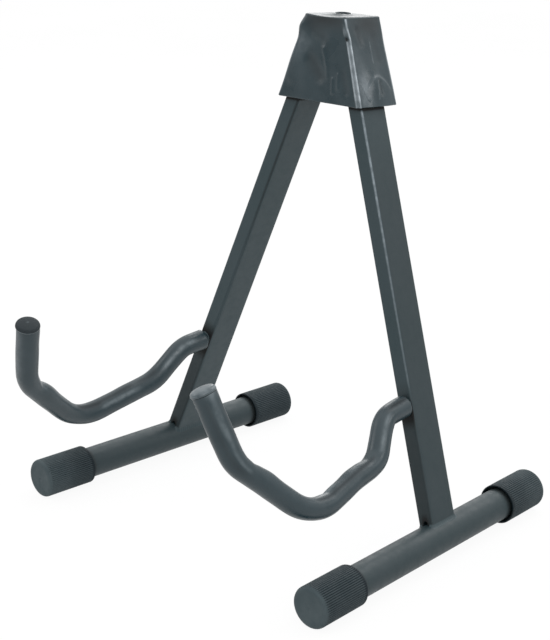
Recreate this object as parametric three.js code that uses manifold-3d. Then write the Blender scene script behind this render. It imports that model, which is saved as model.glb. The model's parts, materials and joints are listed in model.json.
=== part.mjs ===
// Folding A-frame stand for a guitar: two steel half frames hinged under a soft boot.
// Each half is flat: a rectangular leg, a round foot tube and a bent cradle arm in one plane.
// Millimetres, +Z up, floor at z = 0, front of the stand towards -Y, symmetric about x = 0.

import * as THREE from 'three';
import * as BufferGeometryUtils from 'three/addons/utils/BufferGeometryUtils.js';
import Module from 'manifold-3d';

const wasm = await Module();
wasm.setup();

// ---------- driving dimensions ----------

const SPREAD = THREE.MathUtils.degToRad(20.2); // half angle between the open legs
const LEAN = THREE.MathUtils.degToRad(6.7); // backward lean of the A
const PIVOT_HALF_SPACING = 17;
const PIVOT_HEIGHT = 370;
const PIVOT_Y = 82.65; // puts the origin under the middle of the whole stand

const GAP = 0.3; // between fixed pieces that meet
const RUNNING_GAP = 0.15; // between faces that slide on each other

const LEG_WIDTH = 13.8;
const LEG_DEPTH = 28.4;
const LEG_CORNER = 2;
const STEEL_WALL = 1.2;
const LEG_ABOVE_PIVOT = 7.5;
const DRAIN_R = 2.1;

const FOOT_R = 12.7;
const FOOT_FRONT = 152; // from the leg's axis to the front cap's end face
const FOOT_REAR = 122;
const CAP_R = 16.05;
const CAP_SIDES = 32;
const CAP_LENGTH = 45.5;
const CAP_END_WALL = 4;
const CAP_SHOULDER = 3;
const CAP_BORE_R = FOOT_R + GAP;
const CAP_MOUTH_R = 14.7; // the mouth stands clear of the tube
const CAP_MOUTH_DEPTH = 6;

const ROD_R = 5;
const SLEEVE_R = 8.5;
const SLEEVE_BORE_R = ROD_R + 2 * GAP; // leaves room for the facets of both sweeps
const SLEEVE_CLEARANCE = 2.4; // from the leg's front face, measured along the sloping arm
const SLEEVE_FLANGE = 2;
const PLUG_STEM_LENGTH = 6;
// Corners of the arm, as [forward of the leg axis, up the leg from the foot axis, bend radius].
const ARM_ROOT = [4, 105.4];
const ARM_CORNERS = [
  [39.5, 98, 21],
  [56.8, 67.4, 20.5],
  [131.2, 39.9, 41],
  [197, 89.8, 29],
];
const ARM_TIP = [213, 141.5];
const ARM_STEPS = 36;

const PIN_SIDES = 24;
const PIN_R = 3;
const PIN_HOLE_R = 3.1;
const PIN_HEAD_R = 5.5;
const PIN_HEAD_THICK = 1;
const PIN_TAIL_R = 4.8;
const PIN_TAIL_THICK = 2.2;
const BUSH_R = 4.6;
const WASHER_R = 6;
const WASHER_THICK = 0.6;
const PLATE_THICK = 1.2;
const PLATE_BELOW_PIVOT = 11;
const PLATE_HALF_TOP = 20.5;
const PLATE_HALF_BOTTOM = 26;

const BOOT_LEAN = THREE.MathUtils.degToRad(3.4);
const BOOT_TOP = { z: 24.1, halfWidth: 20.5, front: -18.5, rear: 21.9 };
const BOOT_BOTTOM = { z: -41.7, halfWidth: 43.6, front: -23, rear: 22.1 };
const BOOT_WALL = 1.8;
const BOOT_TOP_WALL = 2.2;
const BOOT_CORNER = 2.5;
const BOOT_HOLE_R = 6;

// ---------- values worked out from them ----------

const footAxisHeight = CAP_R * Math.cos(Math.PI / CAP_SIDES);
const legDrop = (PIVOT_HEIGHT - footAxisHeight) / (Math.cos(SPREAD) * Math.cos(LEAN));
const footTilt = Math.atan(Math.tan(LEAN) / Math.cos(SPREAD)); // keeps the foot level
const capRoll = Math.asin(Math.sin(SPREAD) * Math.cos(LEAN)); // turns a facet to the floor
const washerFace = LEG_DEPTH / 2 + RUNNING_GAP;
const plateFace = washerFace + WASHER_THICK + RUNNING_GAP;
const plateOuter = plateFace + PLATE_THICK;
const headFace = plateOuter + RUNNING_GAP;
// The leg's outer top corner meets the bracket's web when the leg is fully open.
const webFace = LEG_ABOVE_PIVOT * Math.cos(SPREAD) + (LEG_WIDTH / 2) * Math.sin(SPREAD) + GAP;

// ---------- materials ----------

function finish(color, roughness, metalness) {
  return () => new THREE.MeshStandardMaterial({ color, roughness, metalness });
}

const powderCoat = finish(0x444e54, 0.5, 0.3);
const zincSteel = finish(0x9a9da0, 0.35, 0.9);
const softVinyl = finish(0x434e55, 0.45, 0);
const bootVinyl = finish(0x424d54, 0.35, 0);
const ribbedRubber = finish(0x40494e, 0.65, 0);
const nylon = finish(0xe4e2da, 0.5, 0);

// ---------- shape helpers ----------

function toManifold(geometry) {
  const bare = geometry.clone();
  bare.deleteAttribute('normal');
  bare.deleteAttribute('uv');
  const merged = BufferGeometryUtils.mergeVertices(bare, 1e-4);
  const mesh = new wasm.Mesh({
    numProp: 3,
    vertProperties: new Float32Array(merged.attributes.position.array),
    triVerts: new Uint32Array(merged.index.array),
  });
  return new wasm.Manifold(mesh);
}

function fromManifold(solid) {
  const mesh = solid.getMesh();
  const geometry = new THREE.BufferGeometry();
  geometry.setAttribute('position', new THREE.BufferAttribute(mesh.vertProperties, 3));
  geometry.setIndex(new THREE.BufferAttribute(mesh.triVerts, 1));
  return geometry;
}

function cut(geometry, tools) {
  let solid = toManifold(geometry);
  for (const tool of tools) {
    solid = solid.subtract(toManifold(tool));
  }
  return fromManifold(solid);
}

function join(geometries) {
  let solid = toManifold(geometries[0]);
  for (const other of geometries.slice(1)) {
    solid = solid.add(toManifold(other));
  }
  return fromManifold(solid);
}

function roundedRectangle(halfX, yLow, yHigh, corner) {
  const shape = new THREE.Shape();
  shape.moveTo(-halfX + corner, yLow);
  shape.lineTo(halfX - corner, yLow);
  shape.absarc(halfX - corner, yLow + corner, corner, -Math.PI / 2, 0, false);
  shape.lineTo(halfX, yHigh - corner);
  shape.absarc(halfX - corner, yHigh - corner, corner, 0, Math.PI / 2, false);
  shape.lineTo(-halfX + corner, yHigh);
  shape.absarc(-halfX + corner, yHigh - corner, corner, Math.PI / 2, Math.PI, false);
  shape.lineTo(-halfX, yLow + corner);
  shape.absarc(-halfX + corner, yLow + corner, corner, Math.PI, 1.5 * Math.PI, false);
  return shape;
}

// A lathe about +Y from [radius, y] pairs that close on themselves or end on the axis.
function turned(pairs, sides) {
  return new THREE.LatheGeometry(pairs.map(([r, y]) => new THREE.Vector2(r, y)), sides);
}

function pipe(outerR, innerR, yLow, yHigh, sides) {
  const corners = [[innerR, yLow], [outerR, yLow], [outerR, yHigh], [innerR, yHigh], [innerR, yLow]];
  return turned(corners, sides);
}

function rodAlongY(r, length, sides) {
  return new THREE.CylinderGeometry(r, r, length, sides);
}

// A path of straight runs and round bends in the y-z plane, measured by its own length.
class BentPath extends THREE.Curve {
  constructor(start, corners, end) {
    super();
    this.runs = [];
    let from = start;
    corners.forEach(({ point, radius }, index) => {
      const next = index + 1 < corners.length ? corners[index + 1].point : end;
      const into = point.clone().sub(from).normalize();
      const out = next.clone().sub(point).normalize();
      const turn = into.angleTo(out);
      const setback = radius * Math.tan(turn / 2);
      const bendStart = point.clone().addScaledVector(into, -setback);
      const axis = new THREE.Vector3().crossVectors(into, out).normalize();
      const inward = new THREE.Vector3().crossVectors(axis, into);
      const centre = bendStart.clone().addScaledVector(inward, radius);
      this.addLine(from, bendStart);
      this.addBend(bendStart, centre, axis, turn, radius);
      from = point.clone().addScaledVector(out, setback);
    });
    this.addLine(from, end);
    this.total = this.runs.reduce((sum, run) => sum + run.length, 0);
  }

  addLine(from, to) {
    this.runs.push({ length: from.distanceTo(to), at: (f) => from.clone().lerp(to, f) });
  }

  addBend(from, centre, axis, turn, radius) {
    const arm = from.clone().sub(centre);
    const at = (f) => arm.clone().applyAxisAngle(axis, turn * f).add(centre);
    this.runs.push({ length: turn * radius, at });
  }

  getPoint(t) {
    let left = t * this.total;
    for (const run of this.runs) {
      if (left <= run.length) {
        return run.at(left / run.length);
      }
      left -= run.length;
    }
    return this.runs[this.runs.length - 1].at(1);
  }
}

// The arm's centre line in a half frame, whose origin is the pivot and whose +Z runs up the leg.
function inHalfFrame(forward, up) {
  return new THREE.Vector3(0, -forward, up - legDrop);
}

function pointBetween(from, to, distance) {
  return from.clone().addScaledVector(to.clone().sub(from).normalize(), distance);
}

const armCorners = ARM_CORNERS.map(([forward, up, radius]) => ({
  point: inHalfFrame(forward, up),
  radius,
}));
const armRoot = inHalfFrame(...ARM_ROOT);
const armTip = inHalfFrame(...ARM_TIP);
const tipDirection = armTip.clone().sub(armCorners[armCorners.length - 1].point).normalize();

function swept(outerR, innerR, sides, path) {
  const section = new THREE.Shape();
  section.absarc(0, 0, outerR, 0, 2 * Math.PI, false);
  if (innerR > 0) {
    const bore = new THREE.Path();
    bore.absarc(0, 0, innerR, 0, 2 * Math.PI, true);
    section.holes.push(bore);
  }
  return new THREE.ExtrudeGeometry(section, {
    steps: ARM_STEPS,
    curveSegments: sides / 2,
    extrudePath: path,
  });
}

// ---------- sub-parts of one half frame ----------

function legTube() {
  const half = LEG_WIDTH / 2;
  const depth = LEG_DEPTH / 2;
  const shape = roundedRectangle(half, -depth, depth, LEG_CORNER);
  const bore = roundedRectangle(
    half - STEEL_WALL,
    STEEL_WALL - depth,
    depth - STEEL_WALL,
    LEG_CORNER / 2,
  );
  shape.holes.push(bore);
  const length = legDrop + LEG_ABOVE_PIVOT;
  const tube = new THREE.ExtrudeGeometry(shape, {
    depth: length,
    steps: 1,
    bevelEnabled: false,
    curveSegments: 3,
  });
  tube.translate(0, 0, -legDrop);

  const cope = rodAlongY(FOOT_R + GAP, 4 * LEG_DEPTH, 48);
  cope.rotateX(footTilt);
  cope.translate(0, 0, -legDrop);

  const pinHole = rodAlongY(PIN_HOLE_R, 2 * LEG_DEPTH, PIN_SIDES);

  const rodEntry = rodAlongY(ROD_R + GAP, LEG_DEPTH, 24);
  const firstRun = armCorners[0].point.clone().sub(armRoot);
  rodEntry.rotateX(Math.atan2(-firstRun.z, -firstRun.y));
  const entry = pointBetween(armRoot, armCorners[0].point, LEG_DEPTH / 2);
  rodEntry.translate(entry.x, entry.y, entry.z);

  const drain = rodAlongY(DRAIN_R, LEG_DEPTH / 2, 16);
  drain.translate(0, -LEG_DEPTH / 2, FOOT_R + GAP + DRAIN_R / 2 - legDrop);

  return cut(tube, [cope, pinHole, rodEntry, drain]);
}

function footTube() {
  const yLow = -FOOT_FRONT + CAP_END_WALL + GAP;
  const yHigh = FOOT_REAR - CAP_END_WALL - GAP;
  return pipe(FOOT_R, FOOT_R - STEEL_WALL, yLow, yHigh, 32);
}

// The end face is at y = 0 and the mouth at y = CAP_LENGTH.
function footCap() {
  const profile = [[0, 0]];
  const shoulderSteps = 3;
  for (let i = 0; i <= shoulderSteps; i += 1) {
    const angle = (i / shoulderSteps) * (Math.PI / 2);
    const r = CAP_R - CAP_SHOULDER + CAP_SHOULDER * Math.sin(angle);
    profile.push([r, CAP_SHOULDER - CAP_SHOULDER * Math.cos(angle)]);
  }
  profile.push([CAP_R, CAP_LENGTH]);
  profile.push([CAP_MOUTH_R, CAP_LENGTH]);
  profile.push([CAP_MOUTH_R, CAP_LENGTH - CAP_MOUTH_DEPTH]);
  profile.push([CAP_BORE_R, CAP_LENGTH - CAP_MOUTH_DEPTH]);
  profile.push([CAP_BORE_R, CAP_END_WALL]);
  profile.push([0, CAP_END_WALL]);
  const cap = turned(profile, CAP_SIDES);
  cap.rotateY(Math.PI / CAP_SIDES);
  return cap;
}

function armRod() {
  const end = armTip.clone().addScaledVector(tipDirection, -(PLUG_STEM_LENGTH + 2 * GAP));
  return swept(ROD_R, 0, 10, new BentPath(armRoot, armCorners, end));
}

function armSleeve() {
  const inset = LEG_DEPTH / 2 - ARM_ROOT[0] + SLEEVE_CLEARANCE;
  const start = pointBetween(armRoot, armCorners[0].point, inset);
  return swept(SLEEVE_R, SLEEVE_BORE_R, 14, new BentPath(start, armCorners, armTip));
}

// The disc closes the sleeve's end and its stem sits in the sleeve's bore.
function tipPlug() {
  const edge = 0.6;
  const stemR = SLEEVE_BORE_R - GAP;
  const profile = [
    [0, -PLUG_STEM_LENGTH],
    [stemR, -PLUG_STEM_LENGTH],
    [stemR, GAP],
    [SLEEVE_R, GAP],
    [SLEEVE_R, SLEEVE_FLANGE - edge],
    [SLEEVE_R - edge, SLEEVE_FLANGE],
    [0, SLEEVE_FLANGE + edge],
  ];
  return turned(profile, 24);
}

function spacerBush() {
  const half = LEG_DEPTH / 2 - STEEL_WALL - GAP;
  return pipe(BUSH_R, PIN_HOLE_R, -half, half, PIN_SIDES);
}

// ---------- sub-parts of the head ----------

function pivotRivet() {
  const edge = 0.5;
  const front = -headFace;
  const rear = headFace;
  const profile = [
    [0, front - PIN_HEAD_THICK],
    [PIN_HEAD_R - edge, front - PIN_HEAD_THICK],
    [PIN_HEAD_R, front - PIN_HEAD_THICK + edge],
    [PIN_HEAD_R, front],
    [PIN_R, front],
    [PIN_R, rear],
    [PIN_TAIL_R, rear],
    [PIN_TAIL_R, rear + PIN_TAIL_THICK / 2],
    [PIN_TAIL_R * 0.7, rear + PIN_TAIL_THICK],
    [0, rear + PIN_TAIL_THICK],
  ];
  return turned(profile, 32);
}

function frictionWasher() {
  return pipe(WASHER_R, PIN_HOLE_R, 0, WASHER_THICK, PIN_SIDES);
}

function hingeBracket() {
  const outline = new THREE.Shape();
  const top = webFace + PLATE_THICK;
  outline.moveTo(-PLATE_HALF_BOTTOM, -PLATE_BELOW_PIVOT);
  outline.lineTo(PLATE_HALF_BOTTOM, -PLATE_BELOW_PIVOT);
  outline.lineTo(PLATE_HALF_TOP, top);
  outline.lineTo(-PLATE_HALF_TOP, top);
  outline.closePath();

  const plates = [-plateOuter, plateFace].map((y) => {
    const plate = new THREE.ExtrudeGeometry(outline, { depth: PLATE_THICK, bevelEnabled: false });
    plate.rotateX(Math.PI / 2);
    plate.translate(0, y + PLATE_THICK, 0);
    return plate;
  });
  const web = new THREE.BoxGeometry(2 * PLATE_HALF_TOP, 2 * plateOuter, PLATE_THICK);
  web.translate(0, 0, webFace + PLATE_THICK / 2);

  const holes = [-1, 1].map((side) => {
    const hole = rodAlongY(PIN_HOLE_R, 4 * plateOuter, PIN_SIDES);
    hole.translate(side * PIVOT_HALF_SPACING, 0, 0);
    return hole;
  });
  return cut(join([...plates, web]), holes);
}

// A rounded block that tapers from the boot's bottom section to its top section.
function bootBlock(inset, zLow, zHigh) {
  const share = (z) => (z - BOOT_BOTTOM.z) / (BOOT_TOP.z - BOOT_BOTTOM.z);
  const blend = (key, z) => THREE.MathUtils.lerp(BOOT_BOTTOM[key], BOOT_TOP[key], share(z));
  const corner = Math.max(BOOT_CORNER - inset, 0.8);
  const shape = roundedRectangle(1, -1, 1, corner / BOOT_TOP.halfWidth);
  const block = new THREE.ExtrudeGeometry(shape, {
    depth: zHigh - zLow,
    steps: 1,
    bevelEnabled: false,
    curveSegments: 4,
  });
  block.translate(0, 0, zLow);
  const position = block.attributes.position;
  for (let i = 0; i < position.count; i += 1) {
    const z = position.getZ(i);
    const front = blend('front', z) + inset;
    const rear = blend('rear', z) - inset;
    const x = position.getX(i) * (blend('halfWidth', z) - inset);
    const y = (front + rear) / 2 + (position.getY(i) * (rear - front)) / 2;
    position.setXYZ(i, x, y, z);
  }
  return block;
}

function hingeBoot() {
  const outer = bootBlock(0, BOOT_BOTTOM.z, BOOT_TOP.z);
  const cavity = bootBlock(BOOT_WALL, BOOT_BOTTOM.z - 1, BOOT_TOP.z - BOOT_TOP_WALL);
  const hole = rodAlongY(BOOT_HOLE_R, 4 * BOOT_TOP_WALL, 32);
  hole.rotateX(Math.PI / 2);
  hole.translate(0, (BOOT_TOP.front + BOOT_TOP.rear) / 2, BOOT_TOP.z);
  return cut(outer, [cavity, hole]);
}

// ---------- assembly ----------

function named(name, geometry, material) {
  const mesh = new THREE.Mesh(geometry, material());
  mesh.name = name;
  return mesh;
}

// The origin is the pivot, +Z runs up the leg and the foot, leg and arm lie in the y-z plane.
function halfFrame(side) {
  const half = new THREE.Group();
  half.add(named(`${side}_leg_tube`, legTube(), powderCoat));
  half.add(named(`${side}_arm_rod`, armRod(), powderCoat));
  half.add(named(`${side}_arm_sleeve`, armSleeve(), softVinyl));
  half.add(named(`${side}_spacer_bush`, spacerBush(), zincSteel));

  const plug = named(`${side}_arm_tip_plug`, tipPlug(), softVinyl);
  plug.position.copy(armTip);
  plug.rotation.x = Math.atan2(tipDirection.z, tipDirection.y);
  half.add(plug);

  const foot = new THREE.Group();
  foot.position.z = -legDrop;
  foot.rotation.x = footTilt;
  foot.add(named(`${side}_foot_tube`, footTube(), powderCoat));

  const turnToFloor = side === 'right' ? capRoll : -capRoll;
  const frontCap = named(`${side}_front_foot_cap`, footCap(), ribbedRubber);
  frontCap.position.y = -FOOT_FRONT;
  frontCap.rotation.y = turnToFloor;
  foot.add(frontCap);

  const rearCap = named(`${side}_rear_foot_cap`, footCap(), ribbedRubber);
  rearCap.position.y = FOOT_REAR;
  rearCap.rotation.set(0, turnToFloor, Math.PI, 'YXZ');
  foot.add(rearCap);
  half.add(foot);
  return half;
}

function head() {
  const group = new THREE.Group();
  group.add(named('hinge_bracket', hingeBracket(), zincSteel));
  for (const [side, sign] of [['left', -1], ['right', 1]]) {
    const x = sign * PIVOT_HALF_SPACING;
    const rivet = named(`${side}_pivot_rivet`, pivotRivet(), zincSteel);
    rivet.position.x = x;
    group.add(rivet);
    const frontWasher = named(`${side}_front_washer`, frictionWasher(), nylon);
    frontWasher.position.set(x, -washerFace - WASHER_THICK, 0);
    group.add(frontWasher);
    const rearWasher = named(`${side}_rear_washer`, frictionWasher(), nylon);
    rearWasher.position.set(x, washerFace, 0);
    group.add(rearWasher);
  }
  return group;
}

function guitarStand() {
  const stand = new THREE.Group();
  const pivotLine = new THREE.Group();
  pivotLine.position.set(0, PIVOT_Y, PIVOT_HEIGHT);
  pivotLine.rotation.x = -LEAN;
  pivotLine.add(head());
  for (const [side, sign] of [['left', -1], ['right', 1]]) {
    const half = halfFrame(side);
    half.position.x = sign * PIVOT_HALF_SPACING;
    half.rotation.y = -sign * SPREAD;
    pivotLine.add(half);
  }
  stand.add(pivotLine);

  const boot = named('hinge_boot', hingeBoot(), bootVinyl);
  boot.position.set(0, PIVOT_Y, PIVOT_HEIGHT);
  boot.rotation.x = -BOOT_LEAN;
  stand.add(boot);
  return stand;
}

export default guitarStand();
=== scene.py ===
# Folding A-frame guitar stand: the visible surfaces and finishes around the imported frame.
# Metres, in the frame's own axes: +Z up, front towards -Y, floor at z = 0.

import json
import math

import bpy
import numpy as np
from mathutils import Matrix, Vector


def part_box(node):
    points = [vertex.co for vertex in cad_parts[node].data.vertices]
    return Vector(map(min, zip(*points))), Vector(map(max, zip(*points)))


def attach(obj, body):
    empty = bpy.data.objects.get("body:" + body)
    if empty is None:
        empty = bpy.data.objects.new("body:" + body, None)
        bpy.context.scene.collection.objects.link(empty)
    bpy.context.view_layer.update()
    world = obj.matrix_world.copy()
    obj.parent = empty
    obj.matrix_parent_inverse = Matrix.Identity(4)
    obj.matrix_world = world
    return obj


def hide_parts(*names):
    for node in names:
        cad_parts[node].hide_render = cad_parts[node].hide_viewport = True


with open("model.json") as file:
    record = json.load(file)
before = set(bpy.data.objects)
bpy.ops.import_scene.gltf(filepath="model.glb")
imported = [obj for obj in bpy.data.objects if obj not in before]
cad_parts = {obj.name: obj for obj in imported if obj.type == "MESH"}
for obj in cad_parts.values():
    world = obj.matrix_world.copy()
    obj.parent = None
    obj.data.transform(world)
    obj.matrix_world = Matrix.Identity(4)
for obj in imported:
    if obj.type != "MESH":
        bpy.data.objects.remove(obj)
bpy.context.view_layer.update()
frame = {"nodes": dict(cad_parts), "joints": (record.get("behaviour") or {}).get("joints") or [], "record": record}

MM = 0.001
SIDES = (("left", -1), ("right", 1))

# ---------- camera ----------

CAMERA_AZIMUTH = math.radians(44.83)
CAMERA_ELEVATION = math.radians(18.17)
CAMERA_DISTANCE = 1.17507
CAMERA_TARGET = Vector((0, 0.01113, 0.16272))
FOCAL_LENGTH = 83.9  # millimetres, as is the sensor
SENSOR_WIDTH = 36

# ---------- sizes of the frame's pieces, which the surfaces repeat ----------

LEG_HALF_WIDTH = 6.9 * MM
LEG_HALF_DEPTH = 14.2 * MM
LEG_CORNER = 2.1 * MM
LEG_ABOVE_PIVOT = 7.5 * MM
LEG_EDGE = 0.35 * MM
LEG_RINGS = 30
LEG_MOUTH_RINGS = 28  # more where the painted shadow under the boot's mouth lies
LEG_MOUTH = (-52 * MM, -36 * MM)
STEEL_WALL = 1.2 * MM
DRAIN_R = 2.5 * MM
DRAIN_STRETCH = 1.35  # the drain notch is this much taller than round
WELD_TOE = 1.7 * MM
WELD_TAPER = 3 * MM
WELD_RIPPLE = 2.3 * MM
WELD_HIDDEN = 0.35 * MM  # how far the weld's back lies inside the tubes
WELD_WRAP = 0.42  # share of the leg's half width that the weld leaves bare at its front
PIN_HOLE_R = 3.1 * MM
PIN_HOLE_DEPTH = 50 * MM
ARM_SHADE_ABOVE = {"left": 0.9, "right": 0.25}  # painted shade on the leg over its arm, next to 1 below it

FOOT_R = 12.7 * MM
FOOT_DULLNESS = 0.25  # darker and rougher all over the tube; the next value is painted shade where it enters its caps
MOUTH_SHADE = 0.7
FOOT_FRONT = 152 * MM
FOOT_REAR = 122 * MM
CAP_R = 15.97 * MM
CAP_LENGTH = 45.5 * MM
CAP_END_WALL = 4 * MM
CAP_SHOULDER = 3 * MM
CAP_MOUTH_R = 14.6 * MM
CAP_MOUTH_DEPTH = 6 * MM
CAP_BORE_R = 13 * MM
CAP_RIBS = 60
RIB_DEPTH = 0.5 * MM
CAP_PLAIN = 1.6 * MM  # the band next to the mouth, without ribs
CAP_DUST = {("left", "front"): 0.6, ("right", "rear"): 0.4}  # share of the grooves' painted shade it hides

ROD_R = 5 * MM
ROD_WELD_R = 0.9 * MM
SLEEVE_R = 8.5 * MM
SLEEVE_TIP_R = 8.9 * MM
PLUG_R = 9.5 * MM
PLUG_AROUND = 64
# painted shade on the left plug's top and a painted highlight on the right one's
PLUG_TOP_PAINTED_LIGHT = {"left": -0.7, "right": 0.7}
SLEEVE_BORE_R = 5.4 * MM
SLEEVE_START = 12.5 * MM  # along the arm from its root, clear of the leg's front face
SLEEVE_WAVES = ((0.10, 9.3, 0), (0.07, 5.1, 1))  # height and length in millimetres, and phase
# The two arms were bent by hand, so each strays a little from the frame's middle line. Millimetres forward
# of the leg's axis and up from the foot's, and at each corner the radius of its bend.
ARM_ROOT = (4, 105.4)
ARM_CORNERS = {
    "left": ((38.4, 97.6, 22), (57.4, 66.2, 24.5), (130.4, 38.2, 41.7), (196.7, 87.5, 31.7)),
    "right": ((40.5, 98.4, 20), (56.2, 68.6, 16.5), (132.1, 41.6, 40.5), (197.4, 91.5, 26.9)),
}
ARM_TIP = {"left": (212.1, 141.5), "right": (214, 141.5)}
ARM_STEP = 1.2 * MM
BEND_STEPS = 24  # even, so that one of them is the middle of the bend
ARM_EASE = 3.0 * MM

BOOT_LEAN = math.radians(3.4)
BOOT_TOP = {"z": 24.1 * MM, "half_width": 20.5 * MM, "front": -18.5 * MM, "rear": 21.9 * MM}
BOOT_BOTTOM = {"z": -41.7 * MM, "half_width": 43.6 * MM, "front": -23 * MM, "rear": 22.1 * MM}
BOOT_WALL = 1.8 * MM
BOOT_TOP_WALL = 2.2 * MM
BOOT_CORNER = 2.6 * MM
BOOT_EDGE = 1.6 * MM
BOOT_LIP = 0.5 * MM
BOOT_HOLE_R = 6 * MM
# a rougher top, painted darker as painted shade
BOOT_TOP_SHADE_AND_DULLNESS = -0.28

# ---------- mesh helpers ----------

DRILL_SIDES = 48


def skin(name, rings, first_pole=None, last_pole=None, smooth_angle=35, painted_light_and_dullness=None, place=None):
    """A closed surface through rings of points, between two poles or else back to its first ring. The painted
    light and dullness is one value for each ring point, and place a matrix for the whole piece."""
    rings = np.asarray(rings, float)
    count, around, _ = rings.shape
    points = rings.reshape(-1, 3).tolist()
    faces = []
    joined = count if first_pole is None else count - 1
    for i in range(joined):
        here, there = i * around, ((i + 1) % count) * around
        for j in range(around):
            k = (j + 1) % around
            faces.append((here + j, here + k, there + k, there + j))
    if first_pole is not None:
        points += [list(first_pole), list(last_pole)]
        start, end = count * around, count * around + 1
        top = (count - 1) * around
        for j in range(around):
            k = (j + 1) % around
            faces.append((start, k, j))
            faces.append((end, top + j, top + k))
    mesh = bpy.data.meshes.new(name)
    mesh.from_pydata(points, [], faces)
    mesh.validate()
    point_outwards(mesh)
    mesh.polygons.foreach_set("use_smooth", [True] * len(mesh.polygons))
    mesh.set_sharp_from_angle(angle=math.radians(smooth_angle))
    if painted_light_and_dullness is not None:
        mark_wear(mesh, painted_light_and_dullness)
    if place is not None:
        mesh.transform(place)
    return add_object(name, mesh)


def add_object(name, data):
    piece = bpy.data.objects.new(name, data)
    bpy.context.scene.collection.objects.link(piece)
    return piece


def mark_wear(mesh, painted_light_and_dullness):
    """Stores each ring point's painted highlight (above 0) or painted shade and dullness (below 0), for the
    finishes to read.
    """
    values = np.zeros(len(mesh.vertices))
    values[: np.size(painted_light_and_dullness)] = np.ravel(painted_light_and_dullness)
    mesh.attributes.new("painted_light_and_dullness", "FLOAT", "POINT").data.foreach_set("value", values)


def point_outwards(mesh):
    """Flips the faces when the closed mesh's signed volume is negative."""
    mesh.calc_loop_triangles()
    points = np.array([v.co for v in mesh.vertices])
    corners = points[np.array([t.vertices for t in mesh.loop_triangles])]
    volume = np.einsum("ij,ij->i", corners[:, 0], np.cross(corners[:, 1], corners[:, 2])).sum()
    if volume < 0:
        mesh.flip_normals()


def drill(piece, radius, depth, centre, direction):
    """Cuts a round hole along direction, whose middle is centre."""
    turn = np.array(Vector(direction).normalized().to_track_quat("Z", "Y").to_matrix())
    ring = flat_circle(DRILL_SIDES) * radius
    rings = [(ring + (0, 0, z)) @ turn.T + np.array(centre) for z in (-depth / 2, depth / 2)]
    tool = skin("drill", rings, rings[0].mean(0), rings[1].mean(0))
    cut = piece.modifiers.new("cut", "BOOLEAN")
    cut.operation = "DIFFERENCE"
    cut.solver = "EXACT"
    cut.object = tool
    graph = bpy.context.evaluated_depsgraph_get()
    mesh = bpy.data.meshes.new_from_object(piece.evaluated_get(graph))
    piece.modifiers.clear()
    piece.data = mesh
    bpy.data.objects.remove(tool)


def circle(count):
    return np.linspace(0, 2 * math.pi, count, endpoint=False)


def flat_circle(count):
    """Points on a circle of radius 1 round +Z."""
    angles = circle(count)
    return np.column_stack([np.cos(angles), np.sin(angles), np.zeros(count)])


def at_height(points, z):
    """Points x, y with one z for them all, or one for each."""
    return np.column_stack([points, np.full(len(points), z)])


def ring_about_y(radius, y, angles):
    return np.stack([radius * np.cos(angles), np.full(len(angles), y), radius * np.sin(angles)], 1)


def lathe(profile, count=96):
    """Rings about +Y through [radius, y] pairs."""
    return [ring_about_y(r, y, circle(count)) for r, y in profile]


def rounded_corner(centre, radius, start, end, steps):
    """Points on an arc in profile coordinates, angles in degrees from the radius axis."""
    angles = np.radians(np.linspace(start, end, steps + 1))
    return [(centre[0] + radius * math.cos(a), centre[1] + radius * math.sin(a)) for a in angles]


def moved(points, matrix):
    """Points after a 4 x 4 matrix."""
    rows = np.array(matrix)
    return points @ rows[:3, :3].T + rows[:3, 3]


def lengths_along(points):
    """Distance along a path from its start to each of its points."""
    return np.concatenate([[0], np.cumsum(np.linalg.norm(np.diff(points, axis=0), axis=1))])


def bell(distance, width):
    return np.exp(-((distance / width) ** 2))


def soft_step(value, width):
    return 1 / (1 + np.exp(-value / width))


# ---------- the half frames ----------

joints = {joint["name"]: joint for joint in frame["joints"]}


class Half:
    """A half frame, in its own axes: its pivot is the origin, +Z is up its leg and +Y to its back."""

    def __init__(self, side, sign):
        joint = joints[f"{side}_leg_fold"]
        spread = math.radians(joint["range_deg"][1])
        right = Vector((1, 0, 0))
        back = Vector(joint["axis"]) * sign
        leg = math.cos(spread) * right.cross(back) - sign * math.sin(spread) * right
        low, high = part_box(f"{side}_foot_tube")
        self.side, self.sign = side, sign
        self.matrix = Matrix((back.cross(leg), back, leg)).transposed().to_4x4()
        self.matrix.translation = Vector(joint["pos_m"])
        self.drop = (joint["pos_m"][2] - (low.z + high.z) / 2) / leg.z
        self.tilt = math.atan2(-back.z, leg.z)
        lower = Matrix.Translation((0, 0, -self.drop))
        self.foot_matrix = self.matrix @ lower @ Matrix.Rotation(self.tilt, 4, "X")

    def on_foot(self, x, y, radius=FOOT_R):
        """Height at which a line up the leg at x, y leaves the foot tube."""
        return (np.sqrt(radius**2 - x**2) + y * math.sin(self.tilt)) / math.cos(self.tilt) - self.drop

    def arm_point(self, forward, up):
        """A point of the arm's centre line, from millimetres forward of the leg and up from the foot."""
        return Vector((0, -forward * MM, up * MM - self.drop))

    def arm_entry(self):
        """The arm's root, its direction there, and where its centre line crosses the leg's front face."""
        root, first = self.arm_point(*ARM_ROOT), self.arm_point(*ARM_CORNERS[self.side][0][:2])
        run = (first - root).normalized()
        return root, run, root + run * ((LEG_HALF_DEPTH + root.y) / -run.y)


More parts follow.
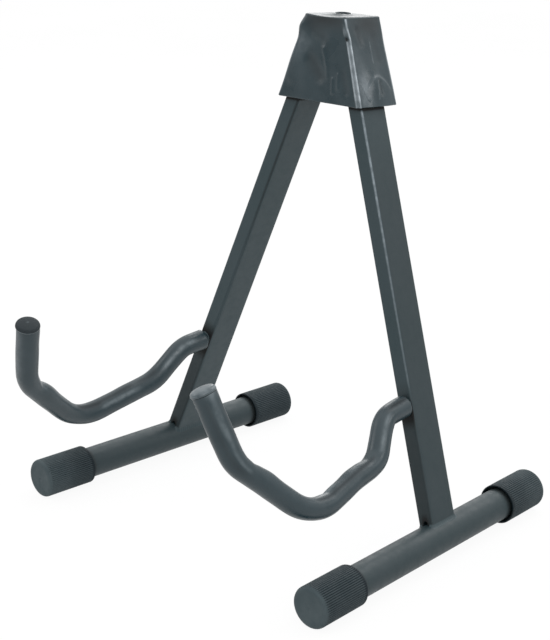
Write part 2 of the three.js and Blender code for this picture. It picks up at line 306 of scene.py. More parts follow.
def outline(half_x, half_y, corner, along_x, along_y, per_corner):
    """Points round a rounded rectangle, anticlockwise from its front left end."""
    points = []
    quarter = np.linspace(0, math.pi / 2, per_corner + 1)
    inner_x, inner_y = half_x - corner, half_y - corner
    turns = (
        (1, -1, along_x, -math.pi / 2),
        (1, 1, along_y, 0),
        (-1, 1, along_x, math.pi / 2),
        (-1, -1, along_y, math.pi),
    )
    start = np.array((-inner_x, -half_y))
    for sx, sy, steps, first in turns:
        centre = np.array((sx * inner_x, sy * inner_y))
        arc = [centre + corner * np.array((math.cos(first + q), math.sin(first + q))) for q in quarter]
        points += [start + (arc[0] - start) * t for t in np.linspace(0, 1, steps, endpoint=False)]
        points += arc[:-1]
        start = arc[-1]
    return np.array(points)


def leg_tube(half):
    def section(inset):
        corner = max(LEG_CORNER - inset, 0.5 * MM)
        return outline(LEG_HALF_WIDTH - inset, LEG_HALF_DEPTH - inset, corner, 24, 12, 6)

    def foot_ring(points):
        x, y = points[:, 0], points[:, 1]
        in_front = y < STEEL_WALL - LEG_HALF_DEPTH + LEG_EDGE
        drain = np.sqrt(np.clip(DRAIN_R**2 - x**2, 0, None)) * DRAIN_STRETCH * in_front
        return at_height(points, half.on_foot(x, y, FOOT_R - 0.1 * MM) + drain)

    top = LEG_ABOVE_PIVOT
    low = half.on_foot(0, LEG_HALF_DEPTH) + 6 * MM
    levels = [*np.linspace(low, top - LEG_EDGE, LEG_RINGS), *np.linspace(*LEG_MOUTH, LEG_MOUTH_RINGS)]
    levels.sort()
    outer, inner = section(0), section(STEEL_WALL)
    rings = [foot_ring(outer)]
    rings += [at_height(outer, z) for z in levels]
    rings += [at_height(section(inset), top) for inset in (LEG_EDGE, STEEL_WALL - LEG_EDGE)]
    rings += [at_height(inner, z) for z in reversed(levels)]
    rings += [foot_ring(inner)]
    piece = skin(f"{half.side}_leg", rings, painted_light_and_dullness=leg_wear(np.concatenate(rings), half))
    drill(piece, PIN_HOLE_R, PIN_HOLE_DEPTH, (0, 0, 0), (0, 1, 0))
    root, run, _ = half.arm_entry()
    drill(piece, ROD_R + 0.1 * MM, LEG_HALF_DEPTH, root + run * LEG_HALF_DEPTH, run)
    piece.data.transform(half.matrix)
    return piece


def leg_wear(points, half):
    """Painted shadow under the boot's mouth, and painted shade low on the front face and round the arm and drain
    notch.
    """
    x, y, z = points.T / MM
    front = y < 1 - LEG_HALF_DEPTH / MM
    drain_z = half.on_foot(0, -LEG_HALF_DEPTH) / MM + 1
    # painted shadow: a dark band just below the boot's mouth
    painted_light_and_dullness = -2 * bell(over_mouth(points, half) + 1, 1.5)
    # painted shade, darker low down on the front face
    painted_light_and_dullness -= 0.5 * soft_step(-z - 288, 8) * front
    # painted shade round the arm's sleeve where it meets the leg
    painted_light_and_dullness -= 1.2 * arm_shade(x, z, half) * front
    # painted shade round the drain notch
    painted_light_and_dullness -= 1.1 * bell(np.hypot(x, z - drain_z), 3.2) * front
    # painted highlight and painted shade along the front edge
    return painted_light_and_dullness + edge_wear(x, y, z, half.side)


def over_mouth(points, half):
    """How far up from the boot's mouth a leg's points are, in millimetres."""
    boot_up = np.array((0, math.sin(BOOT_LEAN), math.cos(BOOT_LEAN)))
    from_pivot = moved(points, half.matrix) - np.array(boot_pivot())
    return (from_pivot @ boot_up - BOOT_BOTTOM["z"]) / MM


def arm_shade(x, z, half):
    """Painted shade, 0 to 1, on the leg round its arm's sleeve: full below it and ARM_SHADE_ABOVE over it."""
    over_arm = z - half.arm_entry()[2].z / MM
    round_arm = np.clip(np.hypot(x, over_arm) - SLEEVE_R / MM - 0.3, 0, None)
    return np.maximum(ARM_SHADE_ABOVE[half.side], soft_step(-over_arm, 1.5)) * bell(round_arm, 1.1)


def edge_wear(x, y, z, side):
    """Painted light on the front edge nearest +X: a painted highlight on the right leg and painted shade near
    the top of the left one, and painted shade, also duller, low down on the right leg's +X face."""
    corner = np.hypot(x - LEG_HALF_WIDTH / MM, y + LEG_HALF_DEPTH / MM)
    corner = np.clip(corner - 0.9, 0, None)
    if side == "left":
        # painted shade along the left leg's edge near its top
        return -0.6 * bell(corner, 0.4) * soft_step(z + 160, 20)
    # painted highlight along the right leg's front edge, weaker lower down
    rubbed = (0.3 + 0.8 * soft_step(z + 150, 25)) * bell(corner, 0.5) * soft_step(z + 268, 3)
    # painted shade low down on the right leg's +X face
    return rubbed - 0.3 * soft_step(-z - 70, 20) * (x > LEG_HALF_WIDTH / MM - 0.1)


def boot_pivot():
    """The point midway between the two leg pivots, which the boot is built round."""
    left, right = (Vector(joints[f"{side}_leg_fold"]["pos_m"]) for side, _ in SIDES)
    return (left + right) / 2


def foot_tube(half):
    end = CAP_END_WALL + 0.3 * MM
    low, high = end - FOOT_FRONT, FOOT_REAR - end
    edge, plain = 0.3 * MM, 20 * MM
    profile = [(FOOT_R - edge, low), (FOOT_R, low + edge)]
    profile += [(FOOT_R, y) for y in np.linspace(low + plain, high - plain, 90)]
    profile += [(FOOT_R, high - edge), (FOOT_R - edge, high)]
    profile += [(FOOT_R - STEEL_WALL, high), (FOOT_R - STEEL_WALL, low)]
    rings = [moved(ring, half.foot_matrix) for ring in lathe(profile)]
    along = np.array([y for _, y in profile])
    to_mouth = np.minimum(along + FOOT_FRONT, FOOT_REAR - along) - CAP_LENGTH
    # painted shade where the tube enters its caps, over its darker tone all over
    painted_light_and_dullness = -FOOT_DULLNESS - MOUTH_SHADE * bell(to_mouth, 2.5 * MM)
    return skin(f"{half.side}_foot", rings, painted_light_and_dullness=np.repeat(painted_light_and_dullness, len(rings[0])))


def tapered(along, taper):
    """1 along a weld, falling off round to 0 at its two ends."""
    ends = np.clip(np.minimum(along, along[-1] - along) / taper, 0, 1)
    return ends * (2 - ends)


def bead(name, points, radius, place):
    """A weld bead along points: a round rope with ripples that thins out at both ends."""
    points = np.asarray(points)
    along = lengths_along(points)
    tangents = np.gradient(points, along, axis=0)
    ring = flat_circle(14)
    ripple = 1 + 0.09 * np.abs(np.sin(math.pi * along / (2.1 * MM))) + 0.05 * np.sin(along / (3.7 * MM))
    sizes = radius * ripple * np.sqrt(np.clip(tapered(along, 2.5 * MM), 0.02, None))
    rings = []
    for point, tangent, size in zip(points, tangents, sizes):
        turn = np.array(Vector(tangent).to_track_quat("Z", "Y").to_matrix())
        rings.append(ring * size @ turn.T + point)
    return skin(name, rings, points[0], points[-1], smooth_angle=80, place=place)


def foot_weld(half, face):
    """A hollow weld fillet down one long face of the leg and a little way onto its front and back."""
    shape = outline(LEG_HALF_WIDTH, LEG_HALF_DEPTH, LEG_CORNER, 24, 60, 10)
    kept = shape[shape[:, 0] * face > LEG_HALF_WIDTH * WELD_WRAP]
    kept = kept[np.argsort(np.arctan2(kept[:, 1], kept[:, 0] * face))]
    along = lengths_along(kept)
    tangents = np.gradient(kept, along, axis=0)
    outward = np.column_stack([tangents[:, 1], -tangents[:, 0]])
    outward *= np.sign((outward * kept).sum(1))[:, None] / np.linalg.norm(outward, axis=1)[:, None]
    ripple = 1 + 0.05 * np.sin(along / WELD_RIPPLE * 2 * math.pi) + 0.06 * np.sin(along / (4.3 * MM))
    toe = WELD_TOE * ripple * np.sqrt(tapered(along, WELD_TAPER))

    def spot(out, up):
        """Points this far out from the leg, and up from the foot tube's surface there."""
        points = kept + outward * np.reshape(out, (-1, 1))
        return at_height(points, half.on_foot(*points.T) + up)

    upper, lower, root = spot(0, toe * 1.15), spot(toe, 0), spot(toe * 0.22, toe * 0.25)
    shares = np.linspace(0, 1, 7)
    curve = [upper * (1 - t) ** 2 + root * 2 * t * (1 - t) + lower * t**2 for t in shares]
    back = [spot(toe, -WELD_HIDDEN), spot(-WELD_HIDDEN, -WELD_HIDDEN), spot(-WELD_HIDDEN, toe)]
    rings = np.stack(curve + back, 1)
    name = f"{half.side}_foot_weld_{'inner' if face == -half.sign else 'outer'}"
    poles = rings[0].mean(0), rings[-1].mean(0)
    return skin(name, rings, *poles, smooth_angle=40, place=half.matrix)


# ---------- arms ----------


def bent_path(points, radii):
    """Evenly spaced points along straight runs joined by round bends, and each bend's place along them."""
    corners = [np.array(point) for point in points]
    dense, middles, length = [corners[0]], [], 0.0

    def add(point):
        nonlocal length
        length += np.linalg.norm(point - dense[-1])
        dense.append(point)

    for before, corner, after, radius in zip(corners, corners[1:], corners[2:], radii):
        into = (corner - before) / np.linalg.norm(corner - before)
        out = (after - corner) / np.linalg.norm(after - corner)
        turn = math.acos(float(into @ out))
        setback = radius * math.tan(turn / 2)
        inward = (out - into) / np.linalg.norm(out - into)
        centre = corner + inward * radius / math.cos(turn / 2)
        start = corner - into * setback
        toward = (start - centre) / radius
        for angle in np.linspace(0, turn, BEND_STEPS + 1):
            add(centre + radius * (toward * math.cos(angle) + into * math.sin(angle)))
            if abs(angle - turn / 2) < 1e-6:
                middles.append(length)
    add(corners[-1])
    dense = np.array(dense)
    along = lengths_along(dense)
    spots = np.linspace(0, along[-1], int(round(along[-1] / ARM_STEP)) + 1)
    even = np.column_stack([np.interp(spots, along, dense[:, axis]) for axis in range(3)])
    return eased(even, spots[1]), spots, middles


def eased(points, spacing):
    """The path with its bends eased into its straight runs, its two ends kept."""
    reach = int(3 * ARM_EASE / spacing)
    offsets = np.arange(-reach, reach + 1)
    weights = bell(offsets * spacing, ARM_EASE)
    weights /= weights.sum()
    before = points[0] + (points[0] - points[reach:0:-1])
    after = points[-1] + (points[-1] - points[-2 : -reach - 2 : -1])
    padded = np.concatenate([before, points, after])
    return np.column_stack([np.convolve(padded[:, axis], weights, "valid") for axis in range(3)])


def arm_path(half):
    bends = ARM_CORNERS[half.side]
    places = (ARM_ROOT, *(bend[:2] for bend in bends), ARM_TIP[half.side])
    corners = [half.arm_point(*place) for place in places]
    return bent_path(corners, [radius * MM for *_, radius in bends])


# How the soft sleeve bunches up in each bend: [bend, distance from its middle, height, length, side],
# where side 1 is the upper face of the arm and -1 the lower one.
SLEEVE_FOLDS = {
    "left": (
        (0, -1, -0.9, 4, -1), (0, 11, 0.3, 6, -1),
        (1, -12, -0.3, 5, 1), (1, 8, 0.2, 5, -1),
        (1, 29, 0.4, 8, 1), (2, 2, -0.3, 10, 1),
        (2, 4, -0.4, 9, -1), (2, 27, 0.3, 8, -1),
        (3, -27, 0.9, 9, 1), (3, -12, -1.5, 4.5, 1),
        (3, 2, -0.4, 12, -1), (3, 51, 0.8, 8, 1),
    ),
    "right": (
        (0, -1, -0.9, 4, -1), (0, -6, -0.4, 8, 1),
        (1, 11, -1.4, 5.5, 1), (1, 12, 0.4, 6, -1),
        (1, 31, 0.9, 9, 1), (1, 31, -0.8, 9, -1),
        (2, -19, -0.9, 5, 1), (2, 3, -0.3, 9, -1),
        (2, 25, 0.3, 7, -1), (3, -30, 0.8, 8, 1),
        (3, -30, -0.3, 8, -1), (3, -13, -0.9, 4, 1),
        (3, -5, -0.4, 5, 1), (3, 51, 0.8, 8, 1),
    ),
}
# Where a sleeve's upper face is pressed flat: [bend, distance from its middle, depth, length].
SLEEVE_FLATS = {"left": (), "right": ((3, -5, 0.9, 9),)}
# Painted highlights (above 0) and painted shade, also duller (below 0), in streaks: [bend, start, end, angle, half
# width, strength], in millimetres from the bend's middle and degrees round the arm from its upper face towards +X.
SLEEVE_HIGHLIGHTS_AND_SHADE = {
    "left": (
        (0, -9, 23, 34, 14, 1.0), (1, -8, 18, 5, 18, -0.5),
        (1, 20, 56, 40, 13, 0.75), (1, 22, 56, 4, 16, -0.55),
        (2, -20, 10, 8, 22, -0.75), (3, -17, -12, 42, 10, 0.5),
        (3, 4, 54, 175, 25, 0.35),
    ),
    "right": (
        (0, -24, -3, 42, 16, -0.8), (0, 0, 28, 60, 11, 0.8),
        (0, 2, 30, -22, 8, 0.5), (1, 6, 80, 42, 14, -0.6),
        (2, -30, -6, -3, 14, 0.8), (3, -10, 48, 104, 12, 0.5),
        (3, 20, 42, 118, 12, 0.3), (3, -4, 48, 138, 14, -0.25),
        (3, -8, 6, 122, 14, -0.3), (3, 16, 46, 58, 14, -0.3),
        (3, 49, 60, 100, 28, 0.9),
    ),
}


def sleeve_streaks(side, along, middles, angles):
    """Painted highlights and shade at each place along the arm (rows) and angle from its upper face (columns)."""
    painted_light_and_dullness = np.zeros((len(along), len(angles)))
    for bend, start, end, angle, spread, strength in SLEEVE_HIGHLIGHTS_AND_SHADE[side]:
        place = (along - middles[bend]) / MM
        shape = soft_step(place - start, 1.6) * soft_step(end - place, 1.6)
        turn = (np.degrees(angles) - angle + 180) % 360 - 180
        painted_light_and_dullness += strength * shape[:, None] * bell(turn, spread)
    return painted_light_and_dullness


def sleeve_radius(side, along, middles, angles):
    """Outer radius at each place along the arm (rows) and angle from its upper face (columns)."""
    growth = soft_step(along - middles[3], 8 * MM) * (SLEEVE_TIP_R - SLEEVE_R)
    waves = sum(rise * MM * np.sin(along / (run * MM) + phase) for rise, run, phase in SLEEVE_WAVES)
    radius = (SLEEVE_R + growth + waves)[:, None] + np.zeros(len(angles))
    upper = np.cos(angles)

    def near(bend, offset, length):
        return bell(along - middles[bend] - offset * MM, length * MM)[:, None]

    for bend, offset, height, length, face in SLEEVE_FOLDS[side]:
        radius += height * MM * near(bend, offset, length) * np.clip(face * upper, 0, 1) ** 1.6
    for bend, offset, depth, length in SLEEVE_FLATS[side]:
        shape = near(bend, offset, length)
        chord = (SLEEVE_R - depth * MM * shape) / np.clip(upper, 0.3, 1)
        radius = np.minimum(radius, np.where(shape > 0.05, chord, radius))
    return radius


def arm_sections(points, spots, keep):
    """Centre, upward direction and tangent at each kept place of an arm's path."""
    tangents = np.gradient(points, spots, axis=0)
    tangents /= np.linalg.norm(tangents, axis=1)[:, None]
    upward = np.column_stack([np.zeros(len(points)), tangents[:, 2], -tangents[:, 1]])
    return points[keep], upward[keep], tangents[keep]


def tube_rings(centres, upward, radius, angles):
    """Rings round a path in the arm's plane. The radius is one number, or a row of them for each ring."""
    sideways = np.array((1.0, 0, 0))
    rings = []
    for centre, up, r in zip(centres, upward, np.broadcast_to(radius, (len(centres), len(angles)))):
        ring = np.outer(np.cos(angles) * r, up) + np.outer(np.sin(angles) * r, sideways)
        rings.append(ring + centre)
    return rings


def arm_sleeve(half):
    points, spots, middles = arm_path(half)
    angles = circle(72)
    keep = spots >= SLEEVE_START
    centres, upward, tangents = arm_sections(points, spots, keep)
    along = spots[keep]
    radius = sleeve_radius(half.side, along, middles, angles)
    lip = 0.5 * MM
    lip_centre = centres[:1] - tangents[0] * lip
    rings = tube_rings(lip_centre, upward[:1], SLEEVE_BORE_R + lip, angles)
    rings += tube_rings(lip_centre, upward[:1], radius[:1] - lip, angles)
    painted_light_and_dullness = np.zeros((len(rings), len(angles)))
    # painted highlights and painted shade in streaks along the sleeve
    painted_light_and_dullness = np.concatenate([painted_light_and_dullness, sleeve_streaks(half.side, along, middles, angles)])
    rings += tube_rings(centres, upward, radius, angles)
    rings += tube_rings(centres[-1:], upward[-1:], SLEEVE_BORE_R, angles)
    rings += tube_rings(centres[::5], upward[::5], SLEEVE_BORE_R, angles)[::-1]
    return skin(f"{half.side}_sleeve", rings, smooth_angle=50, painted_light_and_dullness=painted_light_and_dullness, place=half.matrix)


def arm_rod(half):
    points, spots, _ = arm_path(half)
    keep = spots <= spots[-1] - 7 * MM
    centres, upward, _ = arm_sections(points, spots, keep)
    centres, upward = centres[::3], upward[::3]
    rings = tube_rings(centres, upward, ROD_R, circle(32))
    return skin(f"{half.side}_rod", rings, centres[0], centres[-1], place=half.matrix)


def tip_matrix(half):
    """At the sleeve's open end, with +Y along the arm."""
    points, _, _ = arm_path(half)
    along = Vector(points[-1] - points[-2]).normalized()
    side_axis = Vector((1, 0, 0))
    turn = Matrix((side_axis, along, side_axis.cross(along))).transposed().to_4x4()
    turn.translation = Vector(points[-1])
    return half.matrix @ turn


def tip_plug(half):
    seam, round_r, crown = 0.3 * MM, 2.8 * MM, 0.9 * MM
    stem_r, stem = SLEEVE_BORE_R - 0.2 * MM, 6 * MM
    profile = [(stem_r - 0.5 * MM, -stem), (stem_r, -stem + 0.5 * MM), (stem_r, seam)]
    profile += [(PLUG_R - 0.8 * MM, seam), (PLUG_R - 0.2 * MM, seam + 0.15 * MM), (PLUG_R, seam + 0.5 * MM)]
    shoulder = seam + 0.9 * MM
    profile += rounded_corner((PLUG_R - round_r, shoulder), round_r, 0, 78, 12)
    flat_r, flat_y = profile[-1]
    profile += [(flat_r * share, flat_y + crown * (1 - share**2)) for share in (0.8, 0.6, 0.4, 0.2)]
    rings = lathe(profile, PLUG_AROUND)
    poles = (0, -stem, 0), (0, flat_y + crown, 0)
    height = np.array([y for _, y in profile])
    # a painted highlight round the rim, and the top's painted light
    rim = bell(height - seam - 0.45 * MM, 0.3 * MM)
    painted_light_and_dullness = np.repeat(0.9 * rim + PLUG_TOP_PAINTED_LIGHT[half.side] * (height > shoulder), PLUG_AROUND)
    return skin(f"{half.side}_tip", rings, *poles, smooth_angle=50, painted_light_and_dullness=painted_light_and_dullness, place=tip_matrix(half))


def rod_weld(half):
    """The bead round the rod where it enters the leg's front face."""
    _, _, centre = half.arm_entry()
    reach = 0.62 * math.pi
    r = ROD_R + 0.2 * MM
    points = []
    for angle in np.linspace(-reach, reach, 60):
        points.append((r * math.sin(angle), centre.y - 0.1 * MM, centre.z + r * math.cos(angle)))
    return bead(f"{half.side}_rod_weld", points, ROD_WELD_R, half.matrix)


# ---------- foot caps ----------


def cap_profile():
    """[radius, y] pairs from the end face's middle out, along the outside, and in through the mouth."""
    lip = 0.5 * MM
    face_r = CAP_R - CAP_SHOULDER
    mouth_end = CAP_LENGTH - CAP_MOUTH_DEPTH
    profile = [(0.5 * MM, 0.35 * MM), (1.0 * MM, 0.12 * MM), (1.4 * MM, 0.0)]
    profile += [(face_r * share, 0.0) for share in (0.3, 0.6, 0.86)]
    profile += [(face_r * 0.92, -0.12 * MM), (face_r * 0.97, -0.05 * MM)]
    profile += rounded_corner((face_r, CAP_SHOULDER), CAP_SHOULDER, -90, 0, 10)
    profile += [(CAP_R, y) for y in np.linspace(CAP_SHOULDER, CAP_LENGTH - lip, 30)[1:-1]]
    profile += rounded_corner((CAP_R - lip, CAP_LENGTH - lip), lip, 0, 90, 4)
    profile += [(CAP_MOUTH_R + 0.2 * MM, CAP_LENGTH), (CAP_MOUTH_R, CAP_LENGTH - 0.3 * MM)]
    return profile + [(CAP_MOUTH_R, mouth_end), (CAP_BORE_R, mouth_end), (CAP_BORE_R, CAP_END_WALL)]


def foot_cap(half, end):
    """A ribbed rubber cap. Its end face is at y = 0 and its mouth at y = CAP_LENGTH."""
    angles = circle(CAP_RIBS * 8)
    groove = 1 - np.abs(np.sin(angles * CAP_RIBS / 2)) ** 0.8
    fade_in, fade_out = CAP_SHOULDER * 0.7, CAP_LENGTH - CAP_PLAIN
    rings, painted_light_and_dullness = [], []
    for r, y in cap_profile():
        depth = RIB_DEPTH * soft_step(y - fade_in, 0.5 * MM) * soft_step(fade_out - y, 0.4 * MM)
        outer = r > CAP_MOUTH_R + 0.3 * MM
        rings.append(ring_about_y(r - depth * groove * outer, y, angles))
        dust = CAP_DUST.get((half.side, end), 0) * soft_step(CAP_LENGTH * 0.5 - y, 4 * MM)
        # painted shade over the ribbed band, deepest in the grooves, less where dust lies
        groove_shade = (1 - dust) * depth / RIB_DEPTH * (0.5 + 0.5 * groove) * outer
        # painted shade inside the mouth
        mouth_shade = y > CAP_LENGTH / 2 and r < CAP_R - 0.2 * MM
        # painted shade on the mouth's rim
        rim_shade = 0.9 * soft_step(y - fade_out + 0.4 * MM, 0.2 * MM)
        painted_light_and_dullness.append(-groove_shade - mouth_shade - rim_shade)
    if end == "front":
        place = Matrix.Translation((0, -FOOT_FRONT, 0))
    else:
        place = Matrix.Translation((0, FOOT_REAR, 0)) @ Matrix.Rotation(math.pi, 4, "Z")
    poles = (0, 0.45 * MM, 0), (0, CAP_END_WALL, 0)
    name = f"{half.side}_{end}_cap"
    return skin(name, rings, *poles, smooth_angle=60, painted_light_and_dullness=painted_light_and_dullness, place=half.foot_matrix @ place)


# ---------- boot ----------

BOOT_FACE_POINTS = 120
BOOT_SIDE_POINTS = 64
BOOT_CORNER_POINTS = 14
BOOT_ROWS = 118
BOOT_INNER_ROWS = 24
BOOT_BRIM_TURNS = (20, 40, 60, 80)  # degrees round the top edge, and on the next line the share of the top's painted shade and dullness at each
BOOT_BRIM_SHADE_SHARES = (0.2, 0.4, 0.7, 1.0)
BOOT_TOP_RINGS = 15
BOOT_MIDDLE = np.array((0, (BOOT_TOP["front"] + BOOT_TOP["rear"]) / 2))
FRONT_RIGHT, FRONT_LEFT = 0, 3  # corners run front right, rear right, rear left, front left


def clustered(count):
    """Shares from 0 up to, not including, 1, closer together near both ends."""
    even = np.arange(count) / count
    return 0.4 * even + 0.6 * (0.5 - 0.5 * np.cos(math.pi * even))


def boot_section(z, inset=0.0):
    """One section of the plain tapered block: points, outward directions, and its middle's y."""
    share = (z - BOOT_BOTTOM["z"]) / (BOOT_TOP["z"] - BOOT_BOTTOM["z"])
    size = {key: BOOT_BOTTOM[key] + (BOOT_TOP[key] - BOOT_BOTTOM[key]) * share for key in BOOT_TOP}
    half, front, rear = size["half_width"] - inset, size["front"] + inset, size["rear"] - inset
    corner = max(BOOT_CORNER - inset, 0.8 * MM)
    low, high = front + corner, rear - corner
    inner = half - corner
    quarter = math.pi / 2
    arc = np.linspace(0, quarter, BOOT_CORNER_POINTS, endpoint=False)
    points, outward = [], []
    sides = (
        ((-inner, front), (inner, front), BOOT_FACE_POINTS, (inner, low), -quarter),
        ((half, low), (half, high), BOOT_SIDE_POINTS, (inner, high), 0),
        ((inner, rear), (-inner, rear), BOOT_FACE_POINTS, (-inner, high), quarter),
        ((-half, high), (-half, low), BOOT_SIDE_POINTS, (-inner, low), 2 * quarter),
    )
    for start, end, count, centre, first in sides:
        start, end, centre = map(np.array, (start, end, centre))
        turns = [np.array((math.cos(first + a), math.sin(first + a))) for a in arc]
        points += [start + (end - start) * t for t in clustered(count)]
        points += [centre + corner * turn for turn in turns]
        outward += [turns[0].round()] * count
        outward += turns
    return np.array(points), np.array(outward), (front + rear) / 2


def line_distance(u, v, route):
    """Distance from each point u, v to a route of straight pieces."""
    best = np.full(np.shape(u), np.inf)
    for (u0, v0), (u1, v1) in zip(route, route[1:]):
        du, dv = u1 - u0, v1 - v0
        share = np.clip(((u - u0) * du + (v - v0) * dv) / (du * du + dv * dv), 0, 1)
        best = np.minimum(best, np.hypot(u - u0 - du * share, v - v0 - dv * share))
    return best


# Creases as [height, width, route], in millimetres. A route is in x, z or, on the side faces, in y, z.
FRONT_CREASES = (
    (0.45, 1.8, ((1.5, -1), (7, -15), (7.8, -22))),
    (0.45, 1.3, ((13.6, -23), (14.6, -33))),
    (0.35, 1.3, ((18.9, -19), (19.8, -29))),
    (-0.90, 5.0, ((-11.8, -9.9), (0.3, -22.4))),
    (-0.60, 4.5, ((-12, 12), (0, 7))),
    (0.60, 4.0, ((-22, 0), (-31, -26))),
    (-0.50, 3.5, ((24, -18), (29, -31))),
)
SIDE_CREASES = (
    (0.30, 0.40, ((4.0, 9.2), (3.3, 3.3), (2.8, -2.7), (2.5, -9.9))),
    (0.35, 0.45, ((2.4, -22.5), (1.4, -29.6), (0.9, -36.2))),
    (-0.70, 2.0, ((5.0, -24), (5.8, -32))),
    (0.60, 0.9, ((-16, -25), (-10.3, -36))),
    (-0.50, 4.0, ((9, 8), (11, -8))),
    (-0.60, 3.0, ((-8, 14), (-6, 4))),
)
REAR_CREASES = (
    (0.45, 2.5, ((-9, 14), (-15, -16))),
    (-0.70, 6.0, ((6, 2), (3, -20))),
    (0.45, 2.0, ((16, -6), (24, -31))),
)
CREASES = {"front": FRONT_CREASES, "side": SIDE_CREASES, "rear": REAR_CREASES}
# how much painted shade, also duller, each face's hollow creases get
CREASE_SHADE_AND_DULLNESS = {"front": 0.35, "side": 0.35, "rear": 0}
SHARP_CREASE = 0.5  # a crease narrower than this gets a painted highlight
# Broad painted highlights (above 0) and painted shade, also duller (below 0): [across, height, half width, half
# height, strength].
PAINTED_LIGHT_PATCHES = {
    "front": ((-22, 2, 9, 16, 0.14), (0, 22, 24, 8, -0.8)),
    "side": ((-13, -28, 6, 13, 0.32), (-14, -2, 5, 12, 0.07), (6, 19, 18, 10, -0.7)),
}
SEAM_HALF = 1.45  # from the corner's middle to each edge of its flat fold
NOTCH_Z = 7.8
SHOULDER_Z = 15.0
ARCH_TOP = -19.5
ARCH_MIDDLE = 3.0
ARCH_BEND = 0.05
ARCH_EDGE = 13.0


def boot_relief(x, y, z, middle_y, distance, corner):
    """How far the boot's surface stands proud of the plain block, in millimetres, and its painted light. distance
    is along the outline from the nearest corner's middle, negative on the front and rear faces."""
    relief, painted_light_and_dullness = corner_folds(z, distance, corner)
    off_corner = distance < -SEAM_HALF
    away = soft_step(np.abs(distance) - SEAM_HALF - 1.2, 0.4)
    for face, mask, across in (
        ("front", off_corner & (y < middle_y), x),
        ("side", distance > SEAM_HALF, y),
        ("rear", off_corner & (y > middle_y), x),
    ):
        face_relief, face_painted_light = creased(face, across, z)
        relief += mask * away * face_relief
        painted_light_and_dullness += mask * away * face_painted_light
    leg_relief, arch_highlight = pressed_by_leg(y, z)
    relief += (distance > SEAM_HALF) * away * leg_relief
    painted_light_and_dullness += (distance > SEAM_HALF) * away * arch_highlight

    # A puffed shoulder at the front left corner, and slow waves as in any soft moulding.
    shoulder = 2.4 * bell(z - SHOULDER_Z, 7.0) + 0.8 * bell(z + 8, 18)
    relief += (corner == FRONT_LEFT) * bell(distance, 7.0) * shoulder
    relief += 0.16 * np.sin(x / 7.3 + z / 11.0) + 0.12 * np.sin(y / 5.9 - z / 8.1 + 1.3)
    return relief, painted_light_and_dullness


def creased(face, across, z):
    """Relief of a face's creases, and its painted light: painted shade, also duller, in hollows, painted
    highlights on sharp creases, and the broad patches.
    """
    relief, painted_light_and_dullness = np.zeros(len(across)), np.zeros(len(across))
    for height, width, route in CREASES[face]:
        distance = line_distance(across, z, route)
        relief += height * bell(distance, width)
        # painted shade, also duller, in hollow creases
        painted_light_and_dullness += CREASE_SHADE_AND_DULLNESS[face] * min(height, 0) * bell(distance, width)
        # painted highlight on sharp creases
        painted_light_and_dullness += 0.3 * (width < SHARP_CREASE) * bell(distance, 0.4)
    # broad painted highlights and painted shade
    for centre, height, width, rise, strength in PAINTED_LIGHT_PATCHES.get(face, ()):
        painted_light_and_dullness += strength * bell(across - centre, width) * bell(z - height, rise)
    return relief, painted_light_and_dullness


def pressed_by_leg(y, z):
    """Relief where a leg presses its own width out of the side wall low down, and a painted highlight along the
    arch.
    """
    arch = ARCH_TOP - ARCH_BEND * (y - ARCH_MIDDLE) ** 2
    within = soft_step(arch - z, 0.8) * soft_step(ARCH_EDGE - np.abs(y - ARCH_MIDDLE), 1.2)
    relief = 0.8 * within + 0.5 * bell(arch - z, 1.2) * within
    relief += 1.9 * bell(y + 1, 8.5) * bell(z + 22, 14)
    # painted highlight along the arch's edge
    return relief, 0.05 * bell(arch - z, 2.0)


def corner_folds(z, distance, corner):
    """Relief of the corners, folded flat below the notch and one ridge each above it, and their painted light."""
    below = soft_step(NOTCH_Z - 1 - z, 0.6)
    near_right = bell(distance - SEAM_HALF, 0.7)
    near_left = bell(distance + SEAM_HALF, 0.7)
    between = bell(distance, 0.8)
    single = bell(distance - SEAM_HALF * np.clip(1 - (z - NOTCH_Z) / 9, 0, 1), 0.7)
    fade = 1 - 0.5 * soft_step(-z - 36, 1.5)
    relief = below * (0.60 * (near_left + near_right) - 0.15 * between) + (1 - below) * 0.65 * single
    # painted highlights along the fold's edges and on the ridges above the notch
    painted_light_and_dullness = fade * below * (1.3 * near_right + 0.85 * near_left + 0.3 * between) + (1 - below) * single
    firm = np.where(corner == FRONT_RIGHT, 1.0, 0.35)
    dent = bell(distance + 1.9, 1.1) * bell(z - NOTCH_Z, 1.1)
    swell = bell(distance + 2.4, 1.4) * bell(z - NOTCH_Z - 6.0, 3.6)
    relief = firm * relief + (corner == FRONT_RIGHT) * (0.75 * swell - 1.6 * dent)
    # a painted highlight on the swell over the notch and painted shade in its dent
    painted_light_and_dullness = firm * painted_light_and_dullness + (corner == FRONT_RIGHT) * (0.35 * swell - 2.2 * dent)
    return relief, painted_light_and_dullness


def nearest_corner(points):
    """For each point of a section, the outline distance from the nearest corner, and which corner."""
    steps = np.linalg.norm(np.roll(points, -1, axis=0) - points, axis=1)
    along = np.cumsum(steps) - steps
    total = steps.sum()
    to_side = BOOT_CORNER_POINTS + BOOT_SIDE_POINTS
    starts = np.cumsum([BOOT_FACE_POINTS, to_side, BOOT_CORNER_POINTS + BOOT_FACE_POINTS, to_side])
    middles = along[starts + BOOT_CORNER_POINTS // 2]
    gaps = (along[:, None] - middles[None, :] + total / 2) % total - total / 2
    corner = np.abs(gaps).argmin(1)
    distance = gaps[np.arange(len(points)), corner]
    return distance * np.array((1, -1, 1, -1))[corner], corner


